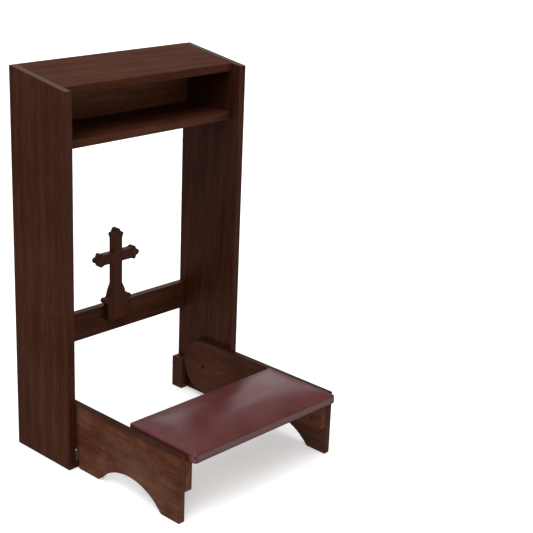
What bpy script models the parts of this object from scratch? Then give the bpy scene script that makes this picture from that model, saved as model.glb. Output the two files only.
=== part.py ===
"""Folding kneeling bench: an open frame with a book shelf, and a padded kneeler that folds up inside it.

Metres, +Z up. The kneeler points to -Y, the origin is on the floor, in the middle of the open bench.
"""
import math

import bmesh
import bpy
from mathutils import Matrix

MM = 0.001
GAP = 0.3 * MM                     # left between pieces that touch

# Driving dimensions of the frame
WIDTH = 513 * MM                   # over both side panels
PANEL_DEPTH = 184 * MM
PANEL_FRONT_HEIGHT = 838 * MM
PANEL_REAR_HEIGHT = 865 * MM
BOARD = 19 * MM                    # planed board of the frame
THIN_BOARD = 16 * MM               # board of the arms, apron and blocks
EASE = 1.6 * MM                    # rounding of the board edges

# Driving dimensions of the kneeler
PIVOT_TO_REAR = 110 * MM           # pivot to the rear face of the frame
PIVOT_HEIGHT = 84 * MM
ARM_END_RADIUS = 68 * MM           # round rear end of an arm, about the pivot
ARM_REACH = 401 * MM               # pivot to the front end of an arm
ARM_SIDE_GAP = 3 * MM              # between an arm and its side panel
PAD_REACH = 425.5 * MM             # pivot to the front of the pad
PAD_DEPTH = 202 * MM

# Places worked out from them
OPEN_DEPTH = PIVOT_TO_REAR + PAD_REACH
REAR_Y = OPEN_DEPTH / 2
FRONT_Y = REAR_Y - PANEL_DEPTH     # front edges of the side panels
PIVOT_Y = REAR_Y - PIVOT_TO_REAR
PANEL_INNER_X = WIDTH / 2 - BOARD
ARM_OUTER_X = PANEL_INNER_X - ARM_SIDE_GAP
ARM_INNER_X = ARM_OUTER_X - THIN_BOARD
ARM_TOP_Z = PIVOT_HEIGHT + ARM_END_RADIUS
SPAN = 2 * (PANEL_INNER_X - GAP)   # boards between the side panels
TOP_SLOPE = (PANEL_REAR_HEIGHT - PANEL_FRONT_HEIGHT) / PANEL_DEPTH
SIDES = (("left", -1), ("right", 1))

# Desk top, shelf and apron
TOP_RECESS = 24 * MM
SHELF_TOP_Z = 730 * MM
SHELF_RECESS = 28 * MM
APRON_BOTTOM_Z = 691 * MM

# Cross rail, cross and bottom bar
RAIL_BOTTOM_Z = 212 * MM
RAIL_TOP_Z = 279 * MM
RAIL_FRONT_Y = REAR_Y - BOARD
CROSS_X = 7.5 * MM
CROSS_THICKNESS = 18 * MM
CROSS_ARM_Z = 398.5 * MM           # height of the cross's arms
CROSS_ARM_REACH = 64 * MM
CROSS_TOP_REACH = 69 * MM
CROSS_FOOT_Z = 244 * MM
BAR_DEPTH = 38 * MM

# Arms
NOTCH_CLEARANCE = 5.5 * MM         # in front of the bottom bar
NOTCH_RADIUS = 24 * MM
ARCH_REAR = 146 * MM               # from the pivot
ARCH_FRONT = 346 * MM
ARCH_RISE = 45.7 * MM

# Blocks, cleats and pad
BLOCK_DEPTH = 35 * MM
BLOCK_THICKNESS = 20 * MM
BLOCK_HEIGHT = 80 * MM
CLEAT_BOTTOM_Z = 67 * MM
CLEAT_TOP_Z = 138 * MM
CLEAT_REACH = 400.5 * MM
CLEAT_LENGTH = 164 * MM
PAD_WIDTH = 2 * (ARM_INNER_X - 2.5 * MM)
PAD_EDGE_Z = 158.8 * MM
PAD_CROWN = 11 * MM
VINYL = 1.5 * MM
PAD_BOARD = 9 * MM
HEM = 24 * MM

# Hardware
DOWEL_RADIUS = 4 * MM
DOWEL_IN_PANEL = 11 * MM
DOWEL_IN_BOARD = 17 * MM
PIVOT_SHANK_RADIUS = 2.3 * MM
PIVOT_HEAD_RADIUS = 4.2 * MM
PIVOT_HEAD_HEIGHT = 2.4 * MM
SLEEVE_WALL = 1.2 * MM
INSERT_LENGTH = 12 * MM
SPACER_RADIUS = 8 * MM
SCREW_HEAD_RADIUS = 4 * MM
SCREW_SHANK_RADIUS = 2 * MM
SCREW_HEAD_HEIGHT = 2.6 * MM

WOOD = (0.085, 0.036, 0.022, 1)
WOOD_LIGHT = (0.12, 0.055, 0.035, 1)
BARE_WOOD = (0.55, 0.40, 0.25, 1)
VINYL_RED = (0.16, 0.028, 0.03, 1)
FOAM = (0.78, 0.70, 0.48, 1)
DARK_STEEL = (0.05, 0.045, 0.04, 1)
ZINC = (0.55, 0.55, 0.53, 1)
BRASS = (0.60, 0.42, 0.16, 1)


def clear_scene():
    for obj in list(bpy.data.objects):
        bpy.data.objects.remove(obj, do_unlink=True)


def make_collection(name):
    group = bpy.data.collections.new(name)
    bpy.context.scene.collection.children.link(group)
    return group


def make_material(name, color, roughness, metallic=0.0):
    material = bpy.data.materials.new(name)
    material.use_nodes = True
    shader = material.node_tree.nodes["Principled BSDF"]
    shader.inputs["Base Color"].default_value = color
    shader.inputs["Roughness"].default_value = roughness
    shader.inputs["Metallic"].default_value = metallic
    return material


clear_scene()
PARTS = make_collection("kneeling_bench")
CUTTERS = make_collection("cutters")


def place(name, mesh, color, roughness=0.4, metallic=0.0, parent=None):
    """Put a world-space mesh in the parts collection as one sub-part."""
    mesh.name = name
    obj = bpy.data.objects.new(name, mesh)
    mesh.materials.clear()
    mesh.materials.append(make_material(name, color, roughness, metallic))
    PARTS.objects.link(obj)
    if parent:
        obj.parent = parent
        obj.matrix_parent_inverse = Matrix.Translation(-parent.location)
    return obj


def box_mesh(low, high):
    bm = bmesh.new()
    bmesh.ops.create_cube(bm, size=1)
    size = [b - a for a, b in zip(low, high)]
    centre = [(a + b) / 2 for a, b in zip(low, high)]
    bmesh.ops.scale(bm, vec=size, verts=bm.verts)
    bmesh.ops.translate(bm, vec=centre, verts=bm.verts)
    mesh = bpy.data.meshes.new("box")
    bm.to_mesh(mesh)
    bm.free()
    return mesh


def outline_mesh(points, thickness, rotation, centre):
    """A flat outline drawn in its own XY plane, given a thickness and turned into place."""
    curve = bpy.data.curves.new("outline", "CURVE")
    curve.dimensions = "2D"
    curve.fill_mode = "BOTH"
    curve.extrude = thickness / 2
    spline = curve.splines.new("POLY")
    spline.points.add(len(points) - 1)
    for target, (across, up) in zip(spline.points, points):
        target.co = (across, up, 0, 1)
    spline.use_cyclic_u = True
    drawing = bpy.data.objects.new("outline", curve)
    drawing.rotation_euler = rotation
    drawing.location = centre
    bpy.context.scene.collection.objects.link(drawing)
    bpy.context.view_layer.update()
    evaluated = drawing.evaluated_get(bpy.context.evaluated_depsgraph_get())
    mesh = bpy.data.meshes.new_from_object(evaluated)
    mesh.transform(drawing.matrix_world)
    bm = bmesh.new()
    bm.from_mesh(mesh)
    bmesh.ops.remove_doubles(bm, verts=bm.verts, dist=0.00001)
    flat_faces = [face for face in bm.faces if len(face.verts) == 3]
    bmesh.ops.dissolve_faces(bm, faces=flat_faces)
    bmesh.ops.recalc_face_normals(bm, faces=bm.faces)
    bm.to_mesh(mesh)
    bm.free()
    bpy.data.objects.remove(drawing, do_unlink=True)
    return mesh


def side_outline_mesh(points, thickness, centre_x):
    """An outline in (y, z), given a thickness along X."""
    return outline_mesh(points, thickness, (math.radians(90), 0, math.radians(90)), (centre_x, 0, 0))


def arc(centre, radius, start, end, steps):
    """Points on an arc, from the start to the end angle in degrees."""
    angles = [math.radians(start + (end - start) * i / steps) for i in range(steps + 1)]
    return [(centre[0] + radius * math.cos(a), centre[1] + radius * math.sin(a)) for a in angles]


def ease_edges(obj, width=EASE, segments=2):
    bevel = obj.modifiers.new("eased_edges", "BEVEL")
    bevel.width = width
    bevel.segments = segments
    bevel.limit_method = "ANGLE"
    bevel.angle_limit = math.radians(40)


def smooth(obj, angle=35):
    obj.data.shade_smooth()
    obj.data.set_sharp_from_angle(angle=math.radians(angle))


def add_rod(bm, axis, start, end, radius, sides):
    """Add a closed cylinder between two points along one axis."""
    turn = {"x": Matrix.Rotation(math.radians(90), 4, "Y"),
            "y": Matrix.Rotation(math.radians(-90), 4, "X"),
            "z": Matrix.Identity(4)}[axis]
    middle = [(a + b) / 2 for a, b in zip(start, end)]
    bmesh.ops.create_cone(bm, cap_ends=True, segments=sides, radius1=radius, radius2=radius,
                          depth=math.dist(start, end), matrix=Matrix.Translation(middle) @ turn)


def rods_mesh(rods, sides=20):
    """A mesh of separate rods, each (axis, start, end, radius)."""
    bm = bmesh.new()
    for axis, start, end, radius in rods:
        add_rod(bm, axis, start, end, radius, sides)
    mesh = bpy.data.meshes.new("rods")
    bm.to_mesh(mesh)
    bm.free()
    return mesh


def cut(obj, rods, sides=20):
    """Bore a set of round holes in a board."""
    mesh = rods_mesh(rods, sides)
    cutter = bpy.data.objects.new(obj.name + "_holes", mesh)
    cutter.hide_render = True
    cutter.display_type = "WIRE"
    CUTTERS.objects.link(cutter)
    boolean = obj.modifiers.new("holes", "BOOLEAN")
    boolean.object = cutter
    boolean.solver = "EXACT"


def turned_mesh(profile, axis, origin, direction=1, sides=24):
    """Turn (along, radius) points, given from tip to tip, about an axis through the origin."""
    bm = bmesh.new()
    rings = []
    for along, radius in profile:
        if radius == 0:
            rings.append([bm.verts.new((0, 0, along))])
            continue
        ring = []
        for i in range(sides):
            a = 2 * math.pi * i / sides
            ring.append(bm.verts.new((radius * math.cos(a), radius * math.sin(a), along)))
        rings.append(ring)
    closed = profile[0][1] > 0
    pairs = list(zip(rings, rings[1:]))
    if closed:
        pairs.append((rings[-1], rings[0]))
    for lower, upper in pairs:
        for i in range(sides):
            j = (i + 1) % sides
            corners = [lower[i % len(lower)], lower[j % len(lower)],
                       upper[j % len(upper)], upper[i % len(upper)]]
            bm.faces.new(list(dict.fromkeys(corners)))
    turn = {"x": Matrix.Rotation(math.radians(90) * direction, 4, "Y"),
            "z": Matrix.Identity(4) if direction > 0 else Matrix.Rotation(math.pi, 4, "X")}[axis]
    bmesh.ops.transform(bm, matrix=Matrix.Translation(origin) @ turn, verts=bm.verts)
    bmesh.ops.recalc_face_normals(bm, faces=bm.faces)
    mesh = bpy.data.meshes.new("turned")
    bm.to_mesh(mesh)
    bm.free()
    return mesh


# ---------------------------------------------------------------- dowels and holes of the frame

def end_dowels(places):
    """Dowel and hole rods for a board between the side panels, at (y, z) places."""
    dowels, holes = [], []
    for _, side in SIDES:
        for y, z in places:
            panel_end = side * (PANEL_INNER_X + DOWEL_IN_PANEL)
            board_end = side * (PANEL_INNER_X - DOWEL_IN_BOARD)
            dowels.append(("x", (board_end, y, z), (panel_end, y, z), DOWEL_RADIUS))
            holes.append(("x", (board_end - side * 1 * MM, y, z),
                          (panel_end + side * 1 * MM, y, z), DOWEL_RADIUS + GAP))
    return dowels, holes


def block_dowels(side):
    """Hidden dowel and hole rods between a heel block and its side panel."""
    dowels, holes = [], []
    for z in BLOCK_DOWEL_Z:
        inner, outer = PANEL_INNER_X - 12 * MM, PANEL_INNER_X + DOWEL_IN_PANEL
        dowels.append(("x", (side * inner, BLOCK_DOWEL_Y, z), (side * outer, BLOCK_DOWEL_Y, z), DOWEL_RADIUS))
        holes.append(("x", (side * (inner - 1 * MM), BLOCK_DOWEL_Y, z),
                      (side * (outer + 1 * MM), BLOCK_DOWEL_Y, z), DOWEL_RADIUS + GAP))
    return dowels, holes


def place_dowels(board_name, dowels):
    for number, dowel in enumerate(dowels, 1):
        smooth(place(f"{board_name}_dowel_{number}", rods_mesh([dowel]), BARE_WOOD, 0.7))


def top_z(y):
    """Height of the sloping tops of the side panels and the desk top."""
    return PANEL_FRONT_HEIGHT + (y - FRONT_Y) * TOP_SLOPE


TOP_DROP = BOARD * math.hypot(1, TOP_SLOPE)      # thickness of the desk top, measured upright
TOP_DOWEL_Y = (FRONT_Y + 60 * MM, REAR_Y - 45 * MM)
SHELF_Z = SHELF_TOP_Z - BOARD / 2
RAIL_Z = (RAIL_BOTTOM_Z + RAIL_TOP_Z) / 2
APRON_FRONT_Y = REAR_Y - THIN_BOARD

DOWEL_PLACES = {
    "top_board": [(y, top_z(y) - TOP_DROP / 2) for y in TOP_DOWEL_Y],
    "shelf_board": [(FRONT_Y + 62 * MM, SHELF_Z), (REAR_Y - 50 * MM, SHELF_Z)],
    "back_apron": [(REAR_Y - THIN_BOARD / 2, 760 * MM)],
    "cross_rail": [(REAR_Y - BOARD / 2, RAIL_Z - 18 * MM), (REAR_Y - BOARD / 2, RAIL_Z + 18 * MM)],
    "bottom_bar": [(FRONT_Y + BAR_DEPTH / 2, BOARD / 2)],
}
BLOCK_DOWEL_Z = (22 * MM, 58 * MM)
BLOCK_DOWEL_Y = REAR_Y - BLOCK_DEPTH / 2
INSERT_RADIUS = PIVOT_SHANK_RADIUS + GAP + 2 * MM


def make_side_panels():
    for name, side in SIDES:
        outline = [(FRONT_Y, 0), (REAR_Y, 0), (REAR_Y, PANEL_REAR_HEIGHT), (FRONT_Y, PANEL_FRONT_HEIGHT)]
        centre_x = side * (PANEL_INNER_X + BOARD / 2)
        panel = place(name + "_side_panel", side_outline_mesh(outline, BOARD, centre_x), WOOD)
        ease_edges(panel)
        holes = []
        for places in DOWEL_PLACES.values():
            holes += [rod for rod in end_dowels(places)[1] if rod[1][0] * side > 0]
        inner = side * (PANEL_INNER_X - 5 * MM)
        insert_end = side * (PANEL_INNER_X + INSERT_LENGTH + GAP)
        holes.append(("x", (inner, PIVOT_Y, PIVOT_HEIGHT), (insert_end, PIVOT_Y, PIVOT_HEIGHT),
                      INSERT_RADIUS + GAP))
        holes += block_dowels(side)[1]
        cut(panel, holes)


def make_cross_boards():
    """The boards that join the side panels, each on its dowels."""
    top_front = FRONT_Y + TOP_RECESS
    lean = TOP_SLOPE * BOARD / math.hypot(1, TOP_SLOPE)
    top_outline = [(top_front, top_z(top_front)), (top_front + lean, top_z(top_front + lean) - TOP_DROP),
                   (REAR_Y, top_z(REAR_Y) - TOP_DROP), (REAR_Y, top_z(REAR_Y))]
    apron_top = [(REAR_Y, top_z(REAR_Y) - TOP_DROP - GAP),
                 (APRON_FRONT_Y, top_z(APRON_FRONT_Y) - TOP_DROP - GAP)]
    apron_outline = [(APRON_FRONT_Y, APRON_BOTTOM_Z), (REAR_Y, APRON_BOTTOM_Z)] + apron_top

    def rectangle(y0, z0, y1, z1):
        return [(y0, z0), (y1, z0), (y1, z1), (y0, z1)]

    outlines = {
        "top_board": top_outline,
        "shelf_board": rectangle(FRONT_Y + SHELF_RECESS, SHELF_TOP_Z - BOARD, APRON_FRONT_Y - GAP, SHELF_TOP_Z),
        "back_apron": apron_outline,
        "cross_rail": rectangle(RAIL_FRONT_Y, RAIL_BOTTOM_Z, REAR_Y, RAIL_TOP_Z),
        "bottom_bar": rectangle(FRONT_Y, 0, FRONT_Y + BAR_DEPTH, BOARD),
    }
    for name, outline in outlines.items():
        board = place(name, side_outline_mesh(outline, SPAN, 0), WOOD)
        ease_edges(board, width=1.2 * MM)
        dowels, holes = end_dowels(DOWEL_PLACES[name])
        if name == "cross_rail":
            holes = holes + cross_dowels()[1]
        cut(board, holes)
        place_dowels(name, dowels)


def make_heel_blocks():
    for name, side in SIDES:
        inner_x = PANEL_INNER_X - GAP - BLOCK_THICKNESS
        xs = sorted((side * inner_x, side * (PANEL_INNER_X - GAP)))
        block = place(name + "_heel_block",
                      box_mesh((xs[0], REAR_Y - BLOCK_DEPTH, 0), (xs[1], REAR_Y, BLOCK_HEIGHT)), WOOD)
        ease_edges(block)
        dowels, holes = block_dowels(side)
        cut(block, holes)
        place_dowels(name + "_heel_block", dowels)


# ---------------------------------------------------------------- cross

def cross_dowels():
    """Two dowels that hold the foot of the cross on the front of the rail."""
    dowels, holes = [], []
    for x in (CROSS_X - 13 * MM, CROSS_X + 13 * MM):
        z = RAIL_TOP_Z - 16 * MM
        ends = (RAIL_FRONT_Y - 10 * MM, RAIL_FRONT_Y + 12 * MM)
        dowels.append(("y", (x, ends[0], z), (x, ends[1], z), 3 * MM))
        holes.append(("y", (x, ends[0] - 1 * MM, z), (x, ends[1] + 1 * MM, z), 3 * MM + GAP))
    return dowels, holes


CROSS_STEM = 12.4 * MM             # half the width of the stem and the arms


def cross_end():
    """Half outline of a decorated end as (distance back from the tip, half width)."""
    return [(0, 1.6 * MM), (2.2 * MM, 5.2 * MM), (6.5 * MM, 7.6 * MM), (9.6 * MM, 9.2 * MM),
            (11.4 * MM, 14.0 * MM), (15.5 * MM, 15.6 * MM), (20 * MM, 14.4 * MM), (25 * MM, CROSS_STEM)]


def cross_foot():
    """Right half of the foot, from the stem down, as (half width, height)."""
    knob = arc((33.5 * MM, 295.4 * MM), 6.2 * MM, 120, -120, 8)
    return ([(CROSS_STEM, 331 * MM), (15.8 * MM, 326 * MM), (20 * MM, 318 * MM), (22.8 * MM, 308 * MM),
             (24.4 * MM, 301 * MM)] + knob + [(29 * MM, CROSS_FOOT_Z + 6 * MM), (24 * MM, CROSS_FOOT_Z)])


def make_cross():
    end = cross_end()
    top = [(w, CROSS_ARM_Z + CROSS_TOP_REACH - d) for d, w in end]
    arm_upper = [(CROSS_ARM_REACH - d, CROSS_ARM_Z + w) for d, w in end]
    arm_lower = [(CROSS_ARM_REACH - d, CROSS_ARM_Z - w) for d, w in end]
    right = (top + [(CROSS_STEM, CROSS_ARM_Z + CROSS_STEM)] + list(reversed(arm_upper)) + arm_lower
             + [(CROSS_STEM, CROSS_ARM_Z - CROSS_STEM)] + cross_foot())
    outline = right + [(-x, z) for x, z in reversed(right)]
    centre_y = RAIL_FRONT_Y - GAP - CROSS_THICKNESS / 2
    mesh = outline_mesh(outline, CROSS_THICKNESS, (math.radians(90), 0, 0), (CROSS_X, centre_y, 0))
    cross = place("cross", mesh, WOOD)
    dowels, holes = cross_dowels()
    cut(cross, holes)
    place_dowels("cross", dowels)


# ---------------------------------------------------------------- screws

def screw_mesh(axis, head_face, direction, length):
    """A countersunk wood screw: the head's face at a point, the shank running along the axis."""
    profile = [(0, 0), (0, SCREW_HEAD_RADIUS), (0.4 * MM, SCREW_HEAD_RADIUS),
               (SCREW_HEAD_HEIGHT, SCREW_SHANK_RADIUS), (length - 4 * MM, SCREW_SHANK_RADIUS),
               (length, 0)]
    return turned_mesh(profile, axis, head_face, direction, sides=16)


def screw_hole(axis, head_face, direction, length, outside=4 * MM):
    """Head recess and shank hole of a countersunk screw, as rods along one axis."""
    index = {"x": 0, "z": 2}[axis]

    def at(distance):
        point = list(head_face)
        point[index] += direction * distance
        return tuple(point)

    return [(axis, at(-outside), at(SCREW_HEAD_HEIGHT + GAP), SCREW_HEAD_RADIUS + GAP),
            (axis, at(SCREW_HEAD_HEIGHT - 0.5 * MM), at(length + 1 * MM), SCREW_SHANK_RADIUS + GAP)]


def cut_union(obj, rods):
    """Cut overlapping holes one after the other."""
    recesses = [rod for rod in rods if rod[3] > SCREW_HEAD_RADIUS]
    shanks = [rod for rod in rods if rod[3] <= SCREW_HEAD_RADIUS]
    cut(obj, recesses)
    cut(obj, shanks)


# ---------------------------------------------------------------- pivots

SLEEVE_INNER = PIVOT_SHANK_RADIUS + GAP
SLEEVE_OUTER = SLEEVE_INNER + SLEEVE_WALL


def pivot_screw_profile():
    """A round-headed screw with a drive socket, from the head's top to the far end."""
    length = PIVOT_HEAD_HEIGHT + 2 * GAP + THIN_BOARD + ARM_SIDE_GAP + INSERT_LENGTH - 1 * MM
    socket_depth = 1.4 * MM
    return [(socket_depth, 0), (socket_depth, 1.5 * MM), (0.1 * MM, 1.7 * MM), (0.3 * MM, 2.9 * MM),
            (1.0 * MM, 3.9 * MM), (1.6 * MM, PIVOT_HEAD_RADIUS), (PIVOT_HEAD_HEIGHT, PIVOT_HEAD_RADIUS),
            (PIVOT_HEAD_HEIGHT, PIVOT_SHANK_RADIUS), (length - 1 * MM, PIVOT_SHANK_RADIUS),
            (length, PIVOT_SHANK_RADIUS - 1 * MM), (length, 0)]


def make_pivots(kneeler):
    for name, side in SIDES:
        head_x = side * (ARM_INNER_X - GAP - PIVOT_HEAD_HEIGHT)
        screw = turned_mesh(pivot_screw_profile(), "x", (head_x, PIVOT_Y, PIVOT_HEIGHT), side)
        smooth(place(name + "_pivot_screw", screw, DARK_STEEL, 0.35, 0.9))

        def ring(piece, outer, start, end, color, parent=None):
            profile = [(start, SLEEVE_INNER), (start, outer), (end, outer), (end, SLEEVE_INNER)]
            mesh = turned_mesh(profile, "x", (0, PIVOT_Y, PIVOT_HEIGHT), side)
            smooth(place(f"{name}_pivot_{piece}", mesh, color, 0.4, 1.0, parent))

        ring("insert", INSERT_RADIUS, PANEL_INNER_X, PANEL_INNER_X + INSERT_LENGTH, BRASS)
        ring("spacer", SPACER_RADIUS, ARM_OUTER_X + GAP, PANEL_INNER_X - GAP, ZINC)
        ring("sleeve", SLEEVE_OUTER, ARM_INNER_X + 0.2 * MM, ARM_OUTER_X - 0.2 * MM, BRASS, kneeler)


# ---------------------------------------------------------------- kneeler arms and cleats

def arm_outline():
    """Arm in (y, z): round rear end, notch over the bottom bar, two feet with an arch between them."""
    pivot = (PIVOT_Y, PIVOT_HEIGHT)
    wall_y = FRONT_Y - NOTCH_CLEARANCE
    notch_centre = (wall_y + NOTCH_RADIUS, NOTCH_RADIUS)
    reach = math.dist(pivot, notch_centre)
    toward = math.degrees(math.atan2(notch_centre[1] - pivot[1], notch_centre[0] - pivot[0]))
    at_pivot = math.degrees(math.acos((reach ** 2 + ARM_END_RADIUS ** 2 - NOTCH_RADIUS ** 2)
                                      / (2 * reach * ARM_END_RADIUS)))
    meet = math.radians(toward - at_pivot)
    meet_y = pivot[0] + ARM_END_RADIUS * math.cos(meet)
    meet_z = pivot[1] + ARM_END_RADIUS * math.sin(meet)
    meet_on_notch = math.degrees(math.atan2(meet_z - notch_centre[1], meet_y - notch_centre[0]))
    half_span = (ARCH_FRONT - ARCH_REAR) / 2
    arch_radius = (half_span ** 2 + ARCH_RISE ** 2) / (2 * ARCH_RISE)
    arch_centre = (PIVOT_Y - (ARCH_REAR + ARCH_FRONT) / 2, ARCH_RISE - arch_radius)
    spread = math.degrees(math.asin(half_span / arch_radius))
    rear_end = arc(pivot, ARM_END_RADIUS, 90, math.degrees(meet) % 360 - 360, 34)
    notch = arc(notch_centre, NOTCH_RADIUS, meet_on_notch % 360, 180, 8)[1:]
    arch = arc(arch_centre, arch_radius, 90 - spread, 90 + spread, 20)
    front_y = PIVOT_Y - ARM_REACH
    return rear_end + notch + [(wall_y, 0)] + arch + [(front_y, 0), (front_y, ARM_TOP_Z)]


CLEAT_OUTER_X = ARM_INNER_X - GAP
CLEAT_INNER_X = CLEAT_OUTER_X - BOARD
CLEAT_FRONT_Y = PIVOT_Y - CLEAT_REACH
CLEAT_SCREW_Z = 86 * MM
CLEAT_SCREW_LENGTH = BOARD + 12 * MM
PAD_SCREW_RECESS = 42 * MM
PAD_BOTTOM_Z = CLEAT_TOP_Z + GAP
PAD_BOARD_Z = PAD_BOTTOM_Z + VINYL + GAP
CLEAT_SCREW_YS = [CLEAT_FRONT_Y + offset for offset in (27 * MM, 82 * MM, 137 * MM)]
PAD_SCREW_YS = [CLEAT_FRONT_Y + offset for offset in (52 * MM, 112 * MM)]


def make_arms_and_cleats(kneeler):
    for name, side in SIDES:
        mesh = side_outline_mesh(arm_outline(), THIN_BOARD, side * (ARM_INNER_X + THIN_BOARD / 2))
        arm = place(name + "_arm", mesh, WOOD_LIGHT, parent=kneeler)
        ease_edges(arm, width=1.4 * MM)
        arm_holes = [("x", (side * (ARM_INNER_X - 5 * MM), PIVOT_Y, PIVOT_HEIGHT),
                      (side * (ARM_OUTER_X + 5 * MM), PIVOT_Y, PIVOT_HEIGHT), SLEEVE_OUTER + GAP)]
        xs = sorted((side * CLEAT_INNER_X, side * CLEAT_OUTER_X))
        cleat_mesh = box_mesh((xs[0], CLEAT_FRONT_Y, CLEAT_BOTTOM_Z),
                              (xs[1], CLEAT_FRONT_Y + CLEAT_LENGTH, CLEAT_TOP_Z))
        cleat = place(name + "_cleat", cleat_mesh, WOOD_LIGHT, parent=kneeler)
        ease_edges(cleat, width=1.2 * MM)
        holes = []
        for number, y in enumerate(CLEAT_SCREW_YS, 1):
            face = (side * (CLEAT_INNER_X + GAP), y, CLEAT_SCREW_Z)
            screw = screw_mesh("x", face, side, CLEAT_SCREW_LENGTH - 2 * GAP)
            smooth(place(f"{name}_cleat_screw_{number}", screw, DARK_STEEL, 0.4, 0.9, kneeler))
            holes += screw_hole("x", face, side, CLEAT_SCREW_LENGTH)
            arm_holes.append(("x", (side * (ARM_INNER_X - 5 * MM), y, CLEAT_SCREW_Z),
                              (side * (ARM_INNER_X + 12 * MM), y, CLEAT_SCREW_Z),
                              SCREW_SHANK_RADIUS + GAP))
        pad_screw_x = side * (CLEAT_INNER_X + BOARD / 2)
        for number, y in enumerate(PAD_SCREW_YS, 1):
            face = (pad_screw_x, y, CLEAT_BOTTOM_Z + PAD_SCREW_RECESS)
            length = PAD_BOARD_Z + PAD_BOARD - 1.5 * MM - face[2]
            screw = screw_mesh("z", face, 1, length)
            smooth(place(f"{name}_pad_screw_{number}", screw, ZINC, 0.4, 0.9, kneeler))
            holes += screw_hole("z", face, 1, length, outside=PAD_SCREW_RECESS + 5 * MM)
        cut_union(cleat, holes)
        cut(arm, arm_holes)


# ---------------------------------------------------------------- pad

PAD_FRONT_Y = PIVOT_Y - PAD_REACH
PAD_CENTRE_Y = PAD_FRONT_Y + PAD_DEPTH / 2


def pad_top_grid(bm, inset, lower):
    """The crowned top of the pad, inset from its sides and lowered."""
    columns, rows = 20, 12
    bmesh.ops.create_grid(bm, x_segments=columns, y_segments=rows, size=0.5)
    half_width = PAD_WIDTH / 2 - inset
    half_depth = PAD_DEPTH / 2 - inset
    for vert in bm.verts:
        u, v = 2 * vert.co.x, 2 * vert.co.y
        rise = (1 - abs(u) ** 5) * (1 - abs(v) ** 3)
        vert.co = (u * half_width, PAD_CENTRE_Y + v * half_depth, PAD_EDGE_Z - lower + PAD_CROWN * rise)


def extrude_border(bm, move):
    """Extrude the open border and move its new points."""
    border = [edge for edge in bm.edges if edge.is_boundary]
    result = bmesh.ops.extrude_edge_only(bm, edges=border)
    for vert in {item for item in result["geom"] if isinstance(item, bmesh.types.BMVert)}:
        move(vert)


def make_pad(kneeler):
    def drop_to(height):
        def move(vert):
            vert.co.z = height
        return move

    def turn_under(vert):
        hem_x = (PAD_WIDTH / 2 - HEM) / (PAD_WIDTH / 2)
        hem_y = (PAD_DEPTH / 2 - HEM) / (PAD_DEPTH / 2)
        vert.co.x *= hem_x
        vert.co.y = PAD_CENTRE_Y + (vert.co.y - PAD_CENTRE_Y) * hem_y

    bm = bmesh.new()
    pad_top_grid(bm, 0, 0)
    extrude_border(bm, drop_to(PAD_BOTTOM_Z))
    extrude_border(bm, turn_under)
    bmesh.ops.recalc_face_normals(bm, faces=bm.faces)
    cover_mesh = bpy.data.meshes.new("pad_cover")
    bm.to_mesh(cover_mesh)
    bm.free()
    cover = place("pad_cover", cover_mesh, VINYL_RED, 0.35, parent=kneeler)
    skin = cover.modifiers.new("vinyl", "SOLIDIFY")
    skin.thickness = VINYL
    skin.offset = -1
    skin.use_even_offset = True
    smooth(cover, 40)

    bm = bmesh.new()
    inside = VINYL + GAP
    pad_top_grid(bm, inside, inside + GAP)
    extrude_border(bm, drop_to(PAD_BOARD_Z + PAD_BOARD + GAP))
    bmesh.ops.contextual_create(bm, geom=[edge for edge in bm.edges if edge.is_boundary])
    bmesh.ops.recalc_face_normals(bm, faces=bm.faces)
    foam_mesh = bpy.data.meshes.new("pad_foam")
    bm.to_mesh(foam_mesh)
    bm.free()
    place("pad_foam", foam_mesh, FOAM, 0.9, parent=kneeler)

    low = (-PAD_WIDTH / 2 + inside, PAD_FRONT_Y + inside, PAD_BOARD_Z)
    high = (PAD_WIDTH / 2 - inside, PAD_FRONT_Y + PAD_DEPTH - inside, PAD_BOARD_Z + PAD_BOARD)
    board = place("pad_board", box_mesh(low, high), BARE_WOOD, 0.7, parent=kneeler)
    holes = []
    for _, side in SIDES:
        x = side * (CLEAT_INNER_X + BOARD / 2)
        for y in PAD_SCREW_YS:
            holes.append(("z", (x, y, PAD_BOARD_Z - 5 * MM), (x, y, PAD_BOARD_Z + PAD_BOARD - 0.8 * MM),
                          SCREW_SHANK_RADIUS + GAP))
    cut(board, holes)
    cover_holes = [(axis, (x, y, start - 2 * MM), (x, y, PAD_BOARD_Z), radius)
                   for axis, (x, y, start), _, radius in holes]
    cut(cover, cover_holes)


def main():
    kneeler = bpy.data.objects.new("kneeler_pivot", None)
    kneeler.location = (0, PIVOT_Y, PIVOT_HEIGHT)
    PARTS.objects.link(kneeler)
    make_side_panels()
    make_cross_boards()
    make_cross()
    make_heel_blocks()
    make_pivots(kneeler)
    make_arms_and_cleats(kneeler)
    make_pad(kneeler)


main()
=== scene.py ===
"""Looks of the folding kneeling bench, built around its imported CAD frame.

Metres, +Z up. The kneeler points to -Y and the origin is on the floor, in the middle of the open bench.
"""
import math

import bmesh
import bpy
import numpy as np
from mathutils import Matrix, Vector
from mathutils.bvhtree import BVHTree


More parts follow.
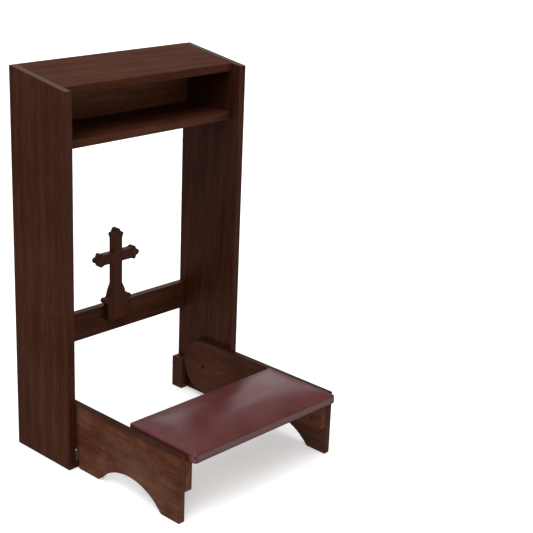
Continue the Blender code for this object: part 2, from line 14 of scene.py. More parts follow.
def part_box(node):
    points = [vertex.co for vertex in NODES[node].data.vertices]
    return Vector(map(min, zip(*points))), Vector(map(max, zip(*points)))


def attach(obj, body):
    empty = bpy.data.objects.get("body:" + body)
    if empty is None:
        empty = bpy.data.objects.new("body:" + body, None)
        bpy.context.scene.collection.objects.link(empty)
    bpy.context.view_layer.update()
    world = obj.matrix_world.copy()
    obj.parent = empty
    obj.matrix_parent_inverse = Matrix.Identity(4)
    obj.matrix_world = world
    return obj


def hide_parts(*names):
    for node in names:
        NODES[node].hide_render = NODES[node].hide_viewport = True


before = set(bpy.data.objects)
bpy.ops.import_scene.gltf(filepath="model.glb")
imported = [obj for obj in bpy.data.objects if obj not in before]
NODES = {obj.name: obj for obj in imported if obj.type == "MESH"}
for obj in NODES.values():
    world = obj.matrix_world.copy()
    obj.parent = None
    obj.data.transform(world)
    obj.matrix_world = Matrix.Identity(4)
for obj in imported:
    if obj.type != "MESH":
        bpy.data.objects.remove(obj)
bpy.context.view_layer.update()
MM = 0.001


# ---------------------------------------------------------------- camera, floor and light

CAMERA_PLACE = Vector((-1.79697, -1.88850, 1.35392))
CAMERA_AZIMUTH = math.radians(-47.474)
CAMERA_ELEVATION = math.radians(19.238)
CAMERA_ROLL = math.radians(2.425)
CAMERA_LENS = 85.674             # mm, on a sensor 36 mm wide
CAMERA_SENSOR = 36

AMBIENT = 0.22                   # strength of the white room on the object, which the camera doesn't see
FLOOR_SIZE = 14
FLOOR_DROP = 0.4 * MM            # keeps the floor's face off the feet
FLOOR_GLOW = 0.40
SUNS = (                         # name, direction it comes from, strength, width in degrees
    ("key", (-0.9, -0.50, 1.35), 1.5, 46),
    ("overhead", (-0.1, -0.1, 1), 1.15, 60),
    ("front", (0.35, -1.0, -0.30), 0.58, 36),
    ("front_left", (-0.45, -0.89, 0.20), 0.25, 24),
    ("left_bounce", (-1.0, 0.38, -0.40), 0.70, 26),
    ("front_bounce", (0.70, -0.64, -0.33), 0.30, 40),
    ("rear", (0.1, 0.6, 1.0), 0.5, 40),
    ("sweep", (0.60, 0.70, 0.38), 0.30, 32))


def make_camera():
    look = Vector((-math.sin(CAMERA_AZIMUTH) * math.cos(CAMERA_ELEVATION),
                   math.cos(CAMERA_AZIMUTH) * math.cos(CAMERA_ELEVATION), -math.sin(CAMERA_ELEVATION)))
    level = look.cross(Vector((0, 0, 1))).normalized()
    above = level.cross(look)
    right = math.cos(CAMERA_ROLL) * level + math.sin(CAMERA_ROLL) * above
    up = -math.sin(CAMERA_ROLL) * level + math.cos(CAMERA_ROLL) * above
    data = bpy.data.cameras.new("camera")
    data.lens = CAMERA_LENS
    data.sensor_width = CAMERA_SENSOR
    data.clip_end = 100
    camera = bpy.data.objects.new("camera", data)
    camera.matrix_world = (Matrix.Translation(CAMERA_PLACE)
                           @ Matrix((right, up, -look)).transposed().to_4x4())
    bpy.context.scene.collection.objects.link(camera)
    bpy.context.scene.camera = camera


def add_node(tree, kind, inputs=None, **settings):
    """Add a shader node. An input is a value, or an output socket to link."""
    new = tree.nodes.new(kind)
    for name, value in settings.items():
        setattr(new, name, value)
    for name, value in (inputs or {}).items():
        if isinstance(value, bpy.types.NodeSocket):
            tree.links.new(value, new.inputs[name])
        else:
            new.inputs[name].default_value = value
    return new


def add_sun(name, toward, strength, angle):
    """A broad soft light that comes from the direction given."""
    data = bpy.data.lights.new(name, "SUN")
    data.energy = strength
    data.angle = math.radians(angle)
    light = bpy.data.objects.new(name, data)
    light.rotation_euler = Vector(toward).to_track_quat("Z", "Y").to_euler()
    light.location = Vector(toward).normalized() * 3
    bpy.context.scene.collection.objects.link(light)


def make_studio():
    scene = bpy.context.scene
    scene.view_settings.view_transform = "Standard"
    world = bpy.data.worlds.new("studio")
    scene.world = world
    world.use_nodes = True
    tree = world.node_tree
    tree.nodes.clear()
    seen = add_node(tree, "ShaderNodeBackground", {"Color": (1, 1, 1, 1), "Strength": 1.0})
    ambient = add_node(tree, "ShaderNodeBackground", {"Color": (0.97, 0.98, 1, 1), "Strength": AMBIENT})
    path = add_node(tree, "ShaderNodeLightPath")
    mix = add_node(tree, "ShaderNodeMixShader", {0: path.outputs["Is Camera Ray"],
                                                 1: ambient.outputs[0], 2: seen.outputs[0]})
    add_node(tree, "ShaderNodeOutputWorld", {"Surface": mix.outputs[0]})

    bpy.ops.mesh.primitive_plane_add(size=FLOOR_SIZE, location=(0, 0, -FLOOR_DROP))
    floor = bpy.context.object
    floor.name = "floor"
    floor.visible_glossy = False
    floor.visible_diffuse = False
    floor.visible_shadow = False
    material = bpy.data.materials.new("floor")
    material.use_nodes = True
    shader = material.node_tree.nodes["Principled BSDF"]
    shader.inputs["Base Color"].default_value = (0.93, 0.93, 0.93, 1)
    shader.inputs["Roughness"].default_value = 0.9
    shader.inputs["Specular IOR Level"].default_value = 0.0
    shader.inputs["Emission Color"].default_value = (1, 1, 1, 1)
    shader.inputs["Emission Strength"].default_value = FLOOR_GLOW
    floor.data.materials.append(material)

    for sun in SUNS:
        add_sun(*sun)


# ---------------------------------------------------------------- materials

def new_material(name):
    material = bpy.data.materials.new(name)
    material.use_nodes = True
    tree = material.node_tree
    return material, tree, tree.nodes["Principled BSDF"]


def object_coords(tree):
    return add_node(tree, "ShaderNodeTexCoord").outputs["Object"]


def math_node(tree, operation, first, second):
    return add_node(tree, "ShaderNodeMath", {0: first, 1: second}, operation=operation).outputs[0]


def noise(tree, vector, scale, detail, roughness=0.5, distortion=0.0):
    return add_node(tree, "ShaderNodeTexNoise",
                    {"Vector": vector, "Scale": scale, "Detail": detail, "Roughness": roughness,
                     "Distortion": distortion}).outputs["Fac"]


def remap(tree, value, low, high, to_low, to_high):
    new = add_node(tree, "ShaderNodeMapRange", {"Value": value, "From Min": low, "From Max": high,
                                                "To Min": to_low, "To Max": to_high})
    return new.outputs[0]


def mix_color(tree, blend, factor, first, second):
    new = add_node(tree, "ShaderNodeMix", data_type="RGBA", blend_type=blend)
    for index, value in ((0, factor), (6, first), (7, second)):
        if isinstance(value, bpy.types.NodeSocket):
            tree.links.new(value, new.inputs[index])
        else:
            new.inputs[index].default_value = value
    return new.outputs[2]


def edge_mask(tree, radius, low, high):
    """1 on an edge, falling to 0 on the flat faces beside it."""
    rounded = add_node(tree, "ShaderNodeBevel", {"Radius": radius}, samples=6)
    geometry = add_node(tree, "ShaderNodeNewGeometry")
    agree = add_node(tree, "ShaderNodeVectorMath", {0: rounded.outputs[0], 1: geometry.outputs["Normal"]},
                     operation="DOT_PRODUCT")
    return remap(tree, agree.outputs["Value"], high, low, 0.0, 1.0)


def add_bump(tree, shader, height, strength, distance):
    """Give a surface the relief of a pattern."""
    bump = add_node(tree, "ShaderNodeBump", {"Height": height, "Strength": strength, "Distance": distance})
    tree.links.new(bump.outputs[0], shader.inputs["Normal"])


# Patterns are about 18 times as long along the grain as across it.
GRAIN_AXES = {"x": (0.055, 1, 1), "y": (1, 0.055, 1), "z": (1, 1, 0.055)}


def along_grain(tree, vector, grain):
    return add_node(tree, "ShaderNodeVectorMath", {0: vector, 1: GRAIN_AXES[grain]},
                    operation="MULTIPLY").outputs[0]


WOOD_ROUGHNESS = 0.42
STAIN_STOPS = ((0.52, (0.026, 0.0066, 0.0026)), (0.70, (0.049, 0.0140, 0.0062)),
               (0.82, (0.064, 0.0195, 0.0092)), (1.0, (0.092, 0.031, 0.0165)))
PAINTED_SHEEN_COLOR = (0.050, 0.034, 0.028, 1)        # painted sheen: a lighter, greyer veil added where a lamp's reflection would show in the lacquer
PORE_COLOR = (0.35, 0.28, 0.25, 1)           # multiplied into the open pores
EDGE_COLOR = (0.010, 0.0032, 0.0018, 1)
DARK_TOP_COLOR = (0.012, 0.0036, 0.0018, 1)
EDGE_RADIUS = 2.6 * MM


def stained_wood(name, grain, seed, light=1.0, painted_sheen=0.0, dark_top=0.0, roughness=WOOD_ROUGHNESS):
    """Dark walnut stain under satin lacquer, with the grain along one axis."""
    material, tree, shader = new_material(name)
    shift = [math.sin(seed * k) * 3.1 for k in (1.7, 2.9, 4.3)]
    tilt = [math.sin(seed * k) * 0.03 for k in (2.3, 3.7, 5.1)]
    placed = add_node(tree, "ShaderNodeMapping", {"Vector": object_coords(tree), "Location": shift,
                                                  "Rotation": tilt}).outputs[0]
    along = along_grain(tree, placed, grain)
    figure = noise(tree, along, 38, 3, 0.55, 0.5)
    streaks = noise(tree, along, 210, 4, 0.62)
    fibres = noise(tree, along, 700, 2)
    pores = remap(tree, noise(tree, along, 1500, 1, 0.55), 0.33, 0.42, 1.0, 0.0)
    blotch = noise(tree, placed, 7, 2, 0.55)
    rings = add_node(tree, "ShaderNodeTexWave", {"Vector": along, "Scale": 16, "Distortion": 7.0,
                                                 "Detail": 2.0, "Detail Scale": 1.6},
                     wave_type="BANDS", bands_direction="DIAGONAL").outputs["Fac"]

    total = None
    for value, weight in ((figure, 0.28), (streaks, 0.62), (fibres, 0.34), (rings, 0.08), (blotch, 0.28)):
        part = math_node(tree, "MULTIPLY", value, weight)
        total = part if total is None else math_node(tree, "ADD", total, part)
    ramp = add_node(tree, "ShaderNodeValToRGB", {"Fac": total})
    ramp.color_ramp.elements[0].position = STAIN_STOPS[0][0]
    ramp.color_ramp.elements[1].position = STAIN_STOPS[-1][0]
    for position, _ in STAIN_STOPS[1:-1]:
        ramp.color_ramp.elements.new(position)
    for element, (_, color) in zip(ramp.color_ramp.elements, STAIN_STOPS):
        # The light factor scales the stain: partly the board's own tone, partly painted light and shade.
        element.color = [channel * light for channel in color] + [1]
    color = ramp.outputs["Color"]
    # Painted sheen: cloudy patches lightened towards grey, standing in for a lamp's reflection.
    if painted_sheen:
        sheen_patches = noise(tree, placed, 11, 3, 0.6, 0.4)
        sheen_amount = remap(tree, sheen_patches, 0.40, 0.66, 0.0, painted_sheen)
        with_sheen = mix_color(tree, "ADD", 1.0, color, PAINTED_SHEEN_COLOR)
        color = mix_color(tree, "MIX", sheen_amount, color, with_sheen)
    color = mix_color(tree, "MULTIPLY", math_node(tree, "MULTIPLY", pores, 0.55), color, PORE_COLOR)
    edges = math_node(tree, "MULTIPLY", edge_mask(tree, EDGE_RADIUS, 0.80, 0.995),
                      remap(tree, streaks, 0.3, 0.6, 0.65, 1.0))
    color = mix_color(tree, "MIX", math_node(tree, "MULTIPLY", edges, 0.62), color, EDGE_COLOR)
    if dark_top:
        facing = add_node(tree, "ShaderNodeSeparateXYZ",
                          {"Vector": add_node(tree, "ShaderNodeTexCoord").outputs["Normal"]}).outputs["Z"]
        color = mix_color(tree, "MIX", remap(tree, facing, 0.35, 0.8, 0.0, dark_top), color,
                          DARK_TOP_COLOR)
    tree.links.new(color, shader.inputs["Base Color"])

    rough = remap(tree, streaks, 0.3, 0.7, roughness - 0.07, roughness + 0.09)
    tree.links.new(rough, shader.inputs["Roughness"])
    shader.inputs["Specular IOR Level"].default_value = 0.05
    height = math_node(tree, "SUBTRACT", math_node(tree, "MULTIPLY", fibres, 0.5),
                       math_node(tree, "MULTIPLY", pores, 0.8))
    add_bump(tree, shader, height, 0.30, 0.15 * MM)
    return material


def bare_wood(name, grain):
    """Pale unfinished wood of the dowels and the plywood."""
    material, tree, shader = new_material(name)
    along = along_grain(tree, object_coords(tree), grain)
    streaks = noise(tree, along, 160, 4, distortion=0.4)
    broad = noise(tree, along, 26, 3, distortion=1.5)
    tone = math_node(tree, "ADD", math_node(tree, "MULTIPLY", streaks, 0.4),
                     math_node(tree, "MULTIPLY", broad, 0.6))
    ramp = add_node(tree, "ShaderNodeValToRGB", {"Fac": tone})
    dark, pale = ramp.color_ramp.elements
    dark.position, pale.position = 0.32, 0.68
    dark.color = (0.30, 0.17, 0.085, 1)
    pale.color = (0.56, 0.38, 0.22, 1)
    tree.links.new(ramp.outputs["Color"], shader.inputs["Base Color"])
    tree.links.new(remap(tree, streaks, 0.3, 0.7, 0.6, 0.8), shader.inputs["Roughness"])
    add_bump(tree, shader, streaks, 0.3, 0.3 * MM)
    return material


def metal(name, color, roughness):
    """Turned and plated steel or brass, with fine scratches and a duller bloom."""
    material, tree, shader = new_material(name)
    coords = object_coords(tree)
    bloom = noise(tree, coords, 300, 3)
    scratch = noise(tree, coords, 2400, 2)
    dull = [channel * 0.6 for channel in color[:3]] + [1]
    tree.links.new(mix_color(tree, "MIX", remap(tree, bloom, 0.35, 0.65, 0.0, 1.0), color, dull),
                   shader.inputs["Base Color"])
    tree.links.new(remap(tree, bloom, 0.3, 0.7, roughness, roughness + 0.15), shader.inputs["Roughness"])
    shader.inputs["Metallic"].default_value = 1.0
    add_bump(tree, shader, scratch, 0.15, 0.05 * MM)
    return material


def vinyl(name):
    """Burgundy upholstery vinyl with a fine leather grain."""
    material, tree, shader = new_material(name)
    coords = object_coords(tree)
    warp = add_node(tree, "ShaderNodeTexNoise", {"Vector": coords, "Scale": 260, "Detail": 2})
    bent = add_node(tree, "ShaderNodeVectorMath", {0: warp.outputs["Color"], 1: (0.0022,) * 3, 2: coords},
                    operation="MULTIPLY_ADD").outputs[0]
    cells = add_node(tree, "ShaderNodeTexVoronoi", {"Vector": bent, "Scale": 620}, feature="DISTANCE_TO_EDGE")
    grain = remap(tree, cells.outputs["Distance"], 0.0, 0.22, 0.0, 1.0)
    patches = noise(tree, coords, 14, 3)
    base = mix_color(tree, "MIX", remap(tree, patches, 0.3, 0.7, 0.0, 1.0),
                     (0.092, 0.0165, 0.0160, 1), (0.120, 0.0250, 0.0238, 1))
    base = mix_color(tree, "MIX", remap(tree, grain, 0.0, 1.0, 0.30, 0.0), base, (0.045, 0.008, 0.009, 1))
    tree.links.new(base, shader.inputs["Base Color"])
    tree.links.new(remap(tree, patches, 0.3, 0.7, 0.33, 0.43), shader.inputs["Roughness"])
    shader.inputs["Specular IOR Level"].default_value = 0.45
    height = math_node(tree, "ADD", math_node(tree, "MULTIPLY", grain, 0.5),
                       math_node(tree, "MULTIPLY", patches, 2.0))
    add_bump(tree, shader, height, 0.22, 0.12 * MM)
    return material


def foam(name):
    """Yellowed open-cell foam, hidden inside the upholstery."""
    material, tree, shader = new_material(name)
    cells = add_node(tree, "ShaderNodeTexVoronoi",
                     {"Vector": object_coords(tree), "Scale": 900}).outputs["Distance"]
    tree.links.new(mix_color(tree, "MIX", cells, (0.62, 0.52, 0.30, 1), (0.80, 0.72, 0.50, 1)),
                   shader.inputs["Base Color"])
    shader.inputs["Roughness"].default_value = 0.9
    return material


BOARD_GRAIN = {"left_side_panel": "z", "right_side_panel": "z", "top_board": "x", "shelf_board": "x",
               "back_apron": "x", "cross_rail": "x", "bottom_bar": "x", "left_heel_block": "z",
               "right_heel_block": "z", "left_arm": "y", "right_arm": "y", "left_cleat": "y",
               "right_cleat": "y"}
# Boards differ in tone, painted sheen, how dark their up-facing faces are, and roughness. The brightness
# factors are partly each board's own tone and partly painted light and shade, set to how lit each board
# looks.
BOARD_TONE_AND_PAINTED_LIGHT = {"left_cleat": 1.9, "right_cleat": 1.9, "left_arm": 1.6, "back_apron": 1.75,
               "top_board": 1.12, "right_side_panel": 0.80, "left_side_panel": 0.96, "shelf_board": 1.15}
BOARD_ROUGHNESS = {"top_board": 0.72}
BOARD_PAINTED_SHEEN = {"left_arm": 0.95, "right_arm": 0.15, "left_cleat": 0.5}
BOARD_DARK_TOP = {"left_arm": 0.75, "right_arm": 0.75}


def paint(node, material):
    for slot in NODES[node].material_slots:
        slot.material = material


def paint_nodes():
    for seed, (node, grain) in enumerate(BOARD_GRAIN.items(), 1):
        paint(node, stained_wood("stained_" + node, grain, seed, BOARD_TONE_AND_PAINTED_LIGHT.get(node, 1.0),
                                 BOARD_PAINTED_SHEEN.get(node, 0.0), BOARD_DARK_TOP.get(node, 0.0),
                                 BOARD_ROUGHNESS.get(node, WOOD_ROUGHNESS)))
    dark_steel = metal("dark_steel", (0.030, 0.024, 0.020, 1), 0.5)
    zinc = metal("zinc_steel", (0.55, 0.55, 0.54, 1), 0.3)
    brass = metal("brass", (0.60, 0.42, 0.16, 1), 0.3)
    across, plywood = bare_wood("dowel_wood", "x"), bare_wood("plywood", "x")
    for name in NODES:
        if "_dowel_" in name:
            paint(name, across)
        elif "pivot_insert" in name or "pivot_sleeve" in name:
            paint(name, brass)
        elif "pivot_spacer" in name or "pad_screw" in name:
            paint(name, zinc)
        elif "screw" in name:
            paint(name, dark_steel)
    paint("pad_board", plywood)
    paint("pad_foam", foam("foam"))


# ---------------------------------------------------------------- meshes

def add_piece(name, mesh, material, body):
    obj = bpy.data.objects.new(name, mesh)
    mesh.name = name
    mesh.materials.clear()
    mesh.materials.append(material)
    bpy.context.scene.collection.objects.link(obj)
    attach(obj, body)
    return obj


def mesh_from(bm):
    bmesh.ops.recalc_face_normals(bm, faces=bm.faces)
    mesh = bpy.data.meshes.new("mesh")
    bm.to_mesh(mesh)
    bm.free()
    return mesh


def smooth(obj, angle):
    obj.data.shade_smooth()
    obj.data.set_sharp_from_angle(angle=math.radians(angle))


def bevel(obj, width, segments, angle):
    modifier = obj.modifiers.new("edges", "BEVEL")
    modifier.width = width
    modifier.segments = segments
    modifier.limit_method = "ANGLE"
    modifier.angle_limit = math.radians(angle)
    modifier.harden_normals = True


def grid_rim(last_i, last_j):
    """Index pairs of a grid's outer points, once round."""
    return ([(i, 0) for i in range(last_i)] + [(last_i, j) for j in range(last_j)]
            + [(i, last_j) for i in range(last_i, 0, -1)] + [(0, j) for j in range(last_j, 0, -1)])


def fill_grid(bm, rows):
    """Faces between the points of a grid."""
    for row, following in zip(rows, rows[1:]):
        for j in range(len(row) - 1):
            bm.faces.new((row[j], following[j], following[j + 1], row[j + 1]))


def bridge(bm, first, second):
    """A band of faces between two closed rings of points."""
    for k in range(len(first)):
        n = (k + 1) % len(first)
        bm.faces.new((first[k], first[n], second[n], second[k]))


# ---------------------------------------------------------------- cross

CROSS_END = ((0, 0), (0.3, 1.7), (1.0, 3.2), (2.2, 4.7), (3.8, 6.0), (5.6, 7.0), (7.4, 7.6), (8.8, 8.3),
             (9.8, 10.2), (10.4, 12.3), (11.3, 14.2), (12.7, 15.5), (14.6, 16.0), (16.6, 15.7), (18.4, 14.9),
             (20.3, 13.9), (22.4, 13.0), (25.0, 12.45))      # mm back from the tip, mm half width
CROSS_STEM = 12.4                # mm, half width
CROSS_FLARE = ((12.4, 335), (13.0, 331.5), (14.6, 329.0), (15.8, 326.0), (18.2, 321.5), (20.4, 316.0),
               (22.0, 309.5), (23.6, 304.0), (25.6, 301.4))  # mm half width, mm height
CROSS_HEIGHTS = (244, 398.5, 467.5)      # mm, the foot's lower end, the middle of the arms and the top
KNOB_X, KNOB_Z, KNOB_RADIUS = 33.5, 295.4, 6.2
KNOB_TURN, KNOB_STEPS = 236, 12          # degrees of a circle that show outside the foot
CROSS_FOOT = ((29.4, 282), (29, 251), (27.4, 246.4))
CROSS_FOOT_END = 24
CROSS_SEED = 21


def cross_outline(centre_x, low, high):
    """Outline of the cross in millimetres: three decorated ends and a flared foot with side knobs."""
    foot, middle, tip = CROSS_HEIGHTS
    arm_z = (low.z + (high.z - low.z) * (middle - foot) / (tip - foot)) / MM
    top_z, reach = high.z / MM, (high.x - low.x) / 2 / MM
    right = [(w, top_z - d) for d, w in CROSS_END] + [(CROSS_STEM, arm_z + CROSS_STEM)]
    right += [(reach - d, arm_z + w) for d, w in reversed(CROSS_END)]
    right += [(reach - d, arm_z - w) for d, w in CROSS_END[1:]] + [(CROSS_STEM, arm_z - CROSS_STEM)]
    right += list(CROSS_FLARE)
    for step in range(KNOB_STEPS + 1):
        a = math.radians(KNOB_TURN / 2 - KNOB_TURN * step / KNOB_STEPS)
        right.append((KNOB_X + KNOB_RADIUS * math.cos(a), KNOB_Z + KNOB_RADIUS * math.sin(a)))
    right += [*CROSS_FOOT, (CROSS_FOOT_END, low.z / MM)]
    outline = right + [(-x, z) for x, z in reversed(right[1:])]
    return [(centre_x + x * MM, z * MM) for x, z in outline]


def make_cross():
    low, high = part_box("cross")
    bm = bmesh.new()
    front = [bm.verts.new((x, low.y, z)) for x, z in cross_outline((low.x + high.x) / 2, low, high)]
    face = bm.faces.new(front)
    extruded = bmesh.ops.extrude_face_region(bm, geom=[face])
    for item in extruded["geom"]:
        if isinstance(item, bmesh.types.BMVert):
            item.co.y = high.y
    cross = add_piece("carved_cross", mesh_from(bm),
                      stained_wood("stained_cross", "z", CROSS_SEED, 1.05), "frame")
    smooth(cross, 50)
    bevel(cross, 1.1 * MM, 3, 55)
    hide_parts("cross")


# ---------------------------------------------------------------- pad

PAD_LOW, PAD_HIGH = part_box("pad_cover")
PAD_CENTRE = (PAD_LOW + PAD_HIGH) / 2
PAD_HALF = (PAD_HIGH - PAD_LOW) / 2
PAD_BOTTOM_Z = PAD_LOW.z
PAD_SEAM_Z = PAD_BOTTOM_Z + 20.0 * MM
PAD_UNDER_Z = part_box("pad_board")[0].z + 0.3 * MM    # just inside the board's lower face
PAD_INSET = 0.2 * MM             # the form starts this far inside the CAD pad and then swells
PAD_CROWN = 11.5 * MM
PAD_FLATNESS = (14, 3.6)         # powers of the crown's fall along the length and across the width
PAD_ROUND = 3.5 * MM             # rounding of the ridge round the top
PAD_CORNER = 5.6 * MM            # radius of the upright corners
HEM_WIDTH = 24 * MM
HEM_THICKNESS = 1.0 * MM
HEM_RAGGED = 0.035               # how unevenly the hem is cut, as a share of its width
SIDE_STEPS = 4
END_STEPS = [0, 1.6 * MM, 3.4 * MM, 5.5 * MM, 9 * MM, 14 * MM]
MIDDLE_STEP = 6 * MM
ARM_TOP_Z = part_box("left_arm")[1].z
ARM_INNER_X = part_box("right_arm")[0].x


def graded(half):
    """Positions from -half to half, closer together near the ends."""
    middle = half - END_STEPS[-1]
    count = max(2, round(2 * middle / MIDDLE_STEP))
    inner = [-middle + 2 * middle * i / count for i in range(1, count)]
    ends = [half - step for step in END_STEPS]
    return [-end for end in ends] + inner + list(reversed(ends))


def round_corner(x, y, half_x, half_y, radius):
    """Pull a point in a rectangle's corner square onto a quarter disc."""
    s, t = (abs(x) - half_x + radius) / radius, (abs(y) - half_y + radius) / radius
    if s <= 0 or t <= 0:
        return x, y
    return (math.copysign(half_x - radius + radius * s * math.sqrt(1 - t * t / 2), x),
            math.copysign(half_y - radius + radius * t * math.sqrt(1 - s * s / 2), y))


def outward(x, y, half_x, half_y, radius):
    """Direction out of a rounded rectangle, for a point on its outline."""
    s, t = abs(x) - half_x + radius, abs(y) - half_y + radius
    if s > 0 and t > 0:
        size = math.hypot(s, t)
        return math.copysign(s / size, x), math.copysign(t / size, y)
    if half_x - abs(x) < half_y - abs(y):
        return math.copysign(1, x), 0
    return 0, math.copysign(1, y)


def pad_form():
    """Closed form of the upholstered pad: crowned top, upright sides, and a hem turned under its board."""
    half_x, half_y = PAD_HALF.x - PAD_INSET - PAD_ROUND, PAD_HALF.y - PAD_INSET - PAD_ROUND
    corner = PAD_CORNER - PAD_ROUND
    xs, ys = graded(half_x), graded(half_y)
    bm = bmesh.new()

    def grid(place):
        return [[bm.verts.new(place(*round_corner(x, y, half_x, half_y, corner))) for y in ys] for x in xs]

    def top_point(x, y):
        u, v = x / half_x, y / half_y
        rise = (1 - abs(u) ** PAD_FLATNESS[0]) * (1 - abs(v) ** PAD_FLATNESS[1])
        return x, PAD_CENTRE.y + y, PAD_SEAM_Z + PAD_CROWN * rise

    scale_x, scale_y = (half_x - HEM_WIDTH) / half_x, (half_y - HEM_WIDTH) / half_y

    def under_point(x, y):
        return x * scale_x, PAD_CENTRE.y + y * scale_y, PAD_UNDER_Z

    top, under = grid(top_point), grid(under_point)
    rim = grid_rim(len(xs) - 1, len(ys) - 1)
    edge = [round_corner(xs[i], ys[j], half_x, half_y, corner) for i, j in rim]
    away = [outward(x, y, half_x, half_y, corner) for x, y in edge]

    # out from the edge and height: round the ridge, down the side and in under the pad
    profile = [(PAD_ROUND * math.sin(a), PAD_SEAM_Z - PAD_ROUND * (1 - math.cos(a)))
               for a in (math.radians(30), math.radians(60), math.radians(90))]
    side_low = PAD_BOTTOM_Z + 2.4 * MM
    side_high = PAD_SEAM_Z - PAD_ROUND
    for step in range(1, SIDE_STEPS + 1):
        profile.append((PAD_ROUND, side_high + (side_low - side_high) * step / SIDE_STEPS))
    profile += [(PAD_ROUND - 0.5 * MM, PAD_BOTTOM_Z + 0.9 * MM),
                (PAD_ROUND - 1.8 * MM, PAD_BOTTOM_Z + 0.2 * MM), (PAD_ROUND - 3.4 * MM, PAD_BOTTOM_Z)]
    rings = [[top[i][j] for i, j in rim]]
    for out, z in profile:
        rings.append([bm.verts.new((x + out * nx, PAD_CENTRE.y + y + out * ny, z))
                      for (x, y), (nx, ny) in zip(edge, away)])
    for part in (0.45, 0.97, 1.0):
        ring = []
        for number, (x, y) in enumerate(edge):
            ragged = part
            if part > 0.9:
                ragged += HEM_RAGGED * math.sin(number * 1.7) * math.sin(number * 0.37)
            ring.append(bm.verts.new((x * (1 + (scale_x - 1) * ragged),
                                      PAD_CENTRE.y + y * (1 + (scale_y - 1) * ragged),
                                      PAD_BOTTOM_Z if part < 1 else PAD_BOTTOM_Z + HEM_THICKNESS)))
        rings.append(ring)
    rings.append([under[i][j] for i, j in rim])
    for upper, lower in zip(rings, rings[1:]):
        bridge(bm, upper, lower)
    fill_grid(bm, top)
    fill_grid(bm, under)
    return mesh_from(bm)


SWELL_PRESSURE = 4.0
SWELL_CAP = 4.0 * MM
SWELL_FRAMES = 20
RIDGE_HOLD = 0.35                # how firmly the ridge is held, where the underside is held by 1
CLOTH = {"quality": 6, "mass": 0.25, "tension_stiffness": 18, "compression_stiffness": 18,
         "shear_stiffness": 8, "bending_stiffness": 1.0, "use_pressure": True,
         "uniform_pressure_force": SWELL_PRESSURE, "vertex_group_mass": "held"}


def inflate(obj):
    """Swell a closed mesh as cloth with its underside held, moving no point further than the cap."""
    start = np.array([vert.co[:] for vert in obj.data.vertices])
    held = obj.vertex_groups.new(name="held")
    for vert in obj.data.vertices:
        if vert.co.z < PAD_BOTTOM_Z + 5 * MM:
            held.add([vert.index], 1.0, "REPLACE")
        elif PAD_SEAM_Z - 1.2 * PAD_ROUND < vert.co.z < PAD_SEAM_Z + 0.2 * MM:
            held.add([vert.index], RIDGE_HOLD, "REPLACE")
    cloth = obj.modifiers.new("cloth", "CLOTH")
    for name, value in CLOTH.items():
        setattr(cloth.settings, name, value)
    cloth.settings.effector_weights.gravity = 0
    scene = bpy.context.scene
    for step in range(1, SWELL_FRAMES + 1):
        scene.frame_set(step)
    evaluated = obj.evaluated_get(bpy.context.evaluated_depsgraph_get())
    swollen = bpy.data.meshes.new_from_object(evaluated)
    obj.modifiers.clear()
    obj.vertex_groups.clear()
    scene.frame_set(1)
    move = np.array([vert.co[:] for vert in swollen.vertices]) - start
    length = np.linalg.norm(move, axis=1, keepdims=True)
    move *= np.minimum(1.0, SWELL_CAP / np.maximum(length, 1e-9))
    swollen.vertices.foreach_set("co", (start + move).ravel())
    obj.data = swollen


PUCKER_DEPTH = 0.45 * MM
PUCKER_LINE = 7 * MM             # in from the pad's edge, where the gathers are deepest
PUCKER_REACH = 9 * MM


def pucker(mesh):
    """Small gathers in the vinyl where it is pulled over the ridge, fading out over the top."""
    for vert in mesh.vertices:
        x, y = vert.co.x, vert.co.y - PAD_CENTRE.y
        if vert.co.z < PAD_SEAM_Z - PAD_ROUND:
            continue
        for place, across, half in ((x, y, PAD_HALF.y), (y, x, PAD_HALF.x)):
            fade = math.exp(-abs(half - abs(across) - PUCKER_LINE) / PUCKER_REACH)
            uneven = 1.9 * math.sin(place / (31 * MM))
            wave = math.sin(place / (4.7 * MM) + uneven + math.copysign(1.1, across))
            strength = 0.6 + 0.4 * math.sin(place / (19 * MM))
            vert.co.z -= PUCKER_DEPTH * fade * (0.5 + 0.5 * wave) * strength


ARM_LAP, ARM_GAP = 2.4, -0.7     # mm past the arms' inner faces, above their tops and below


def clear_arms(mesh):
    """Keep the pad clear of the arms beside it, and let it lap over them only above their tops."""
    for vert in mesh.vertices:
        limit = ARM_INNER_X + (ARM_LAP if vert.co.z > ARM_TOP_Z + 1.5 * MM else ARM_GAP) * MM
        vert.co.x = max(-limit, min(limit, vert.co.x))


def make_pad(material):
    obj = bpy.data.objects.new("pad_upholstery", pad_form())
    bpy.context.scene.collection.objects.link(obj)
    inflate(obj)
    pucker(obj.data)
    clear_arms(obj.data)
    pad = add_piece("kneeling_pad", obj.data, material, "kneeler")
    bpy.data.objects.remove(obj, do_unlink=True)
    pad.data.shade_smooth()
    subdivide = pad.modifiers.new("subdivide", "SUBSURF")
    subdivide.levels = subdivide.render_levels = 1
    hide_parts("pad_cover", "pad_foam")
    return pad


# ---------------------------------------------------------------- pad details

PLEAT_PROUD = 1.0 * MM
PLEAT_DEPTH = 0.6 * MM           # how far the flap reaches into the pad, so that no gap shows
PLEAT_GRID = 9
WIRE_SIDES = 8
STAPLE_WIDTH, STAPLE_WIRE = 10 * MM, 0.55 * MM
STAPLE_COUNT = 12                # on each long side
STAPLE_END = 34 * MM             # from the pad's end to the first one
STAPLE_INSET = 9 * MM            # from the hem's cut edge
STAPLE_SWAY = 0.16               # radians


def surface_tree(mesh):
    return BVHTree.FromPolygons([vert.co for vert in mesh.vertices],
                                [face.vertices[:] for face in mesh.polygons])


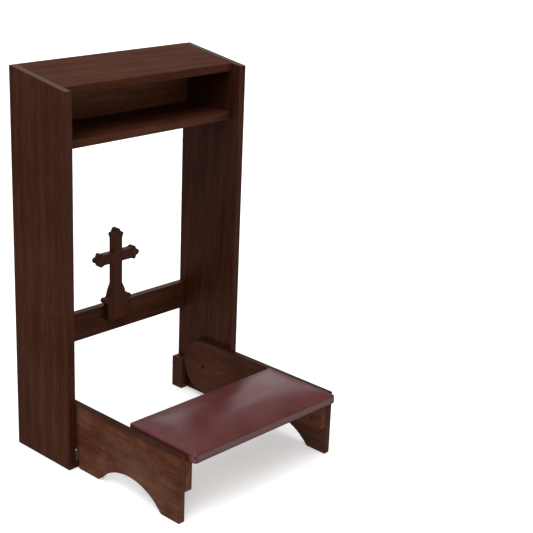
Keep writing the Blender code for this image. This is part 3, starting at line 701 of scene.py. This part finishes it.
def add_pleat(bm, tree, side_x, side_y):
    """A folded flap of vinyl on the front or rear face, widening downwards from a corner of the pad."""
    corner = PAD_HALF.x - PAD_CORNER - 1.0 * MM
    outer, inner = [], []
    for i in range(PLEAT_GRID + 1):
        s = i / PLEAT_GRID
        outer.append([])
        inner.append([])
        for j in range(PLEAT_GRID + 1):
            t = j / PLEAT_GRID
            z = PAD_SEAM_Z - 1.5 * MM + (PAD_BOTTOM_Z - PAD_SEAM_Z + 3.0 * MM) * t
            width = (1.2 + 10.5 * t ** 0.85) * MM
            x = side_x * (corner + 1.5 * MM - s * width)
            start = Vector((x, PAD_CENTRE.y + side_y * 0.2, z))      # well outside the pad
            hit = tree.ray_cast(start, Vector((0, -side_y, 0)))[0]
            y = hit.y if hit else PAD_CENTRE.y + side_y * PAD_HALF.y
            proud = PLEAT_PROUD * min(1.0, 5 * (1 - s) + 0.25, 3 * s + 0.1) * min(1.0, 0.2 + 3 * t)
            outer[-1].append(bm.verts.new((x, y + side_y * proud, z)))
            inner[-1].append(bm.verts.new((x, y - side_y * PLEAT_DEPTH, z)))
    fill_grid(bm, outer)
    fill_grid(bm, inner)
    rim = grid_rim(PLEAT_GRID, PLEAT_GRID)
    bridge(bm, [outer[i][j] for i, j in rim], [inner[i][j] for i, j in rim])


def add_wire(bm, points, radius):
    """A round wire along a few points, closed at both ends."""
    rings = []
    for index, point in enumerate(points):
        before, after = points[max(index - 1, 0)], points[min(index + 1, len(points) - 1)]
        turn = (after - before).to_track_quat("Z", "Y")
        rings.append([bm.verts.new(point + turn @ Vector((radius * math.cos(a), radius * math.sin(a), 0)))
                      for a in (math.radians(360 / WIRE_SIDES * k) for k in range(WIRE_SIDES))])
    for first, second in zip(rings, rings[1:]):
        bridge(bm, first, second)
    bm.faces.new(rings[0])
    bm.faces.new(rings[-1])


def add_staple(bm, x, y, angle):
    """A staple driven up through the hem: a crown across the hem and two bent legs."""
    along = Vector((math.cos(angle), math.sin(angle), 0)) * STAPLE_WIDTH / 2
    centre = Vector((x, y, PAD_BOTTOM_Z - 0.35 * MM))
    lift = Vector((0, 0, 1.6 * MM))
    add_wire(bm, [centre - along + lift, centre - along * 0.99 + lift * 0.3, centre - along * 0.9,
                  centre - along * 0.4, centre + along * 0.4, centre + along * 0.9,
                  centre + along * 0.99 + lift * 0.3, centre + along + lift], STAPLE_WIRE)


def make_pad_details(pad, material):
    tree = surface_tree(pad.data)
    bm = bmesh.new()
    for side_x in (-1, 1):
        for side_y in (-1, 1):
            add_pleat(bm, tree, side_x, side_y)
    pleats = add_piece("pad_corner_pleats", mesh_from(bm), material, "kneeler")
    pleats.data.shade_smooth()

    bm = bmesh.new()
    row_y = PAD_HALF.y - HEM_WIDTH + STAPLE_INSET
    for side in (-1, 1):
        for k in range(STAPLE_COUNT):
            x = (PAD_HALF.x - STAPLE_END) * (2 * k / (STAPLE_COUNT - 1) - 1)
            add_staple(bm, x + 2.5 * MM * math.sin(5.1 * k + side), PAD_CENTRE.y + side * row_y
                       + 1.6 * MM * math.sin(3.7 * k), STAPLE_SWAY * math.sin(2.3 * k + side))
    wire = metal("staple_wire", (0.62, 0.62, 0.60, 1), 0.3)
    staples = add_piece("hem_staples", mesh_from(bm), wire, "kneeler")
    smooth(staples, 60)


# ---------------------------------------------------------------- run

make_camera()
make_studio()
paint_nodes()
make_cross()
VINYL = vinyl("burgundy_vinyl")
PAD = make_pad(VINYL)
make_pad_details(PAD, VINYL)
